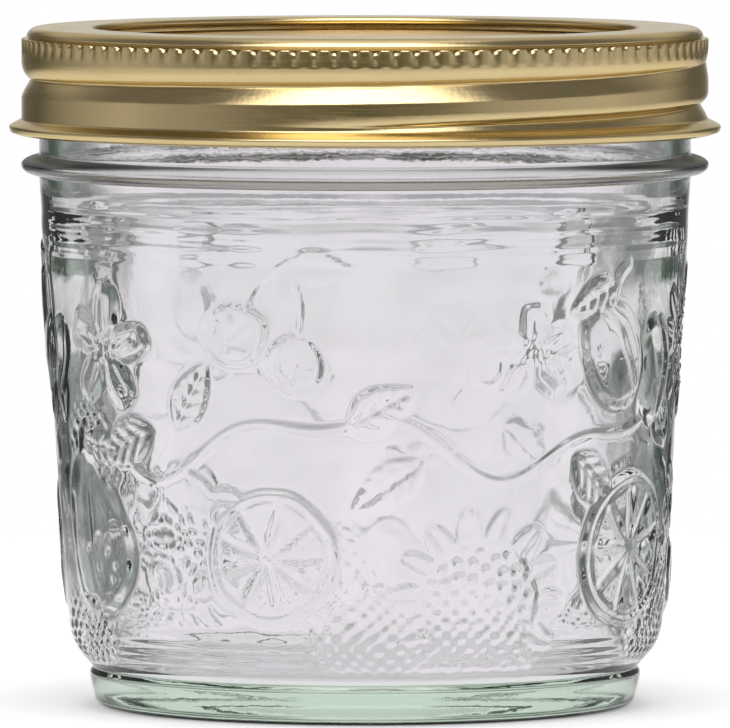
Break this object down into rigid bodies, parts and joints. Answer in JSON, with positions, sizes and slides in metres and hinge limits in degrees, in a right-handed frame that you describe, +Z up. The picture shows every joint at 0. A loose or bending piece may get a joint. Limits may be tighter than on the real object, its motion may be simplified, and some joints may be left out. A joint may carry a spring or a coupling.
{
  "type": "mason jar",
  "caption": "Squat wide-mouth glass canning jar with a threaded neck, closed by a sealing disc and a knurled screw band that unscrews and lifts off.",
  "frame": {"origin": "centre of the foot ring, on the plane that the jar stands on", "axes": "+Z up along the jar's axis, -Y towards the front where the band's thread groove starts, +X to the right of the front"},
  "size_m": [0.0892, 0.0892, 0.085],
  "materials": {
    "clear_glass": "clear soda-lime glass with a faint green tint",
    "disc_lacquer": "gold lacquer over tinplate, satin",
    "sealing_compound": "matt sealing compound",
    "band_lacquer": "gold lacquer over tinplate, glossy"
  },
  "bodies": {
    "jar": {"glass_jar": "clear_glass"},
    "lid": {"lid_disc": "disc_lacquer", "sealing_ring": "sealing_compound"},
    "band": {"screw_band": "band_lacquer"}
  },
  "joints": [
    {"name": "lid_lift", "type": "slide", "parent": "jar", "child": "lid", "axis": [0, 0, 1], "range_m": [0, 0.02033]},
    {"name": "band_turn", "type": "hinge", "parent": "lid", "child": "band", "pos_m": [0, 0, 0.08], "axis": [0, 0, 1], "range_deg": [0, 1440]}
  ],
  "couplings": [
    {"joint": "lid_lift", "follows": "band_turn", "m_per_rad": 0.00080851}
  ]
}
